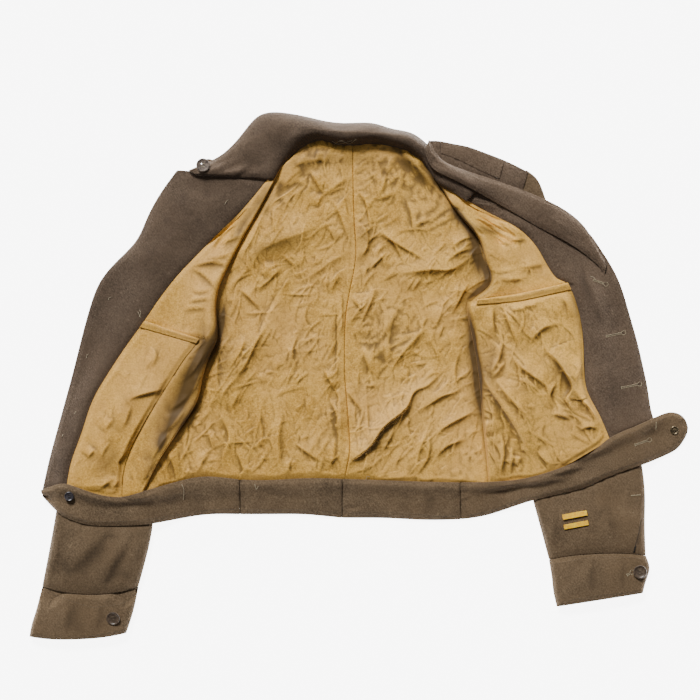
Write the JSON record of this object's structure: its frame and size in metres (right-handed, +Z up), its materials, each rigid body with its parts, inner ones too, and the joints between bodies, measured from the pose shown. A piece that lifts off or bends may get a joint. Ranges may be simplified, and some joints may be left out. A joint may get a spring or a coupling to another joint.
{
  "type": "ike jacket",
  "caption": "Short waist-length wool uniform jacket laid open on its back, inside up, showing a khaki cotton lining, inner pockets, cuffs and a buttoned waistband with a tab.",
  "frame": {"origin": "centre of the jacket's footprint, on the surface it lies on", "axes": "+Z up out of the surface; +Y from the hem to the collar; +X towards the wearer's left side, which carries the waistband tab"},
  "size_m": [0.924, 0.7406, 0.0331],
  "materials": {
    "wool_outer": "brushed wool serge, matt, faint nap",
    "wool_facing": "wool serge facing, matt",
    "cotton_lining": "washed cotton sateen, creased, faint sheen",
    "gold_braid": "embroidered braid, slight sheen",
    "button_plastic": "worn satin plastic",
    "snap_metal": "blackened brass, worn"
  },
  "bodies": {
    "root": {"back_shell": "wool_outer", "front_shell_right": "wool_outer", "front_shell_left": "wool_outer", "shoulder_left": "wool_outer", "shoulder_loop_left": "wool_outer", "shoulder_loop_right": "wool_outer", "sleeve_right": "wool_outer", "sleeve_left": "wool_outer", "cuff_right": "wool_outer", "cuff_left": "wool_outer", "collar": "wool_outer", "lapel_left": "wool_outer", "waistband_right": "wool_outer", "waistband_back_right": "wool_outer", "waistband_back_left": "wool_outer", "waistband_left": "wool_outer", "facing_right": "wool_facing", "facing_left": "wool_facing", "back_lining_right": "cotton_lining", "back_lining_left": "cotton_lining", "front_lining_right": "cotton_lining", "front_lining_left": "cotton_lining", "pocket_right": "cotton_lining", "pocket_left": "cotton_lining", "pocket_welt_right": "cotton_lining", "pocket_welt_left": "cotton_lining", "sleeve_bar_upper": "gold_braid", "sleeve_bar_lower": "gold_braid", "cuff_button_right": "button_plastic", "cuff_button_left": "button_plastic", "waistband_button": "button_plastic", "shoulder_button": "button_plastic", "tab_snap": "snap_metal"}
  },
  "joints": []
}
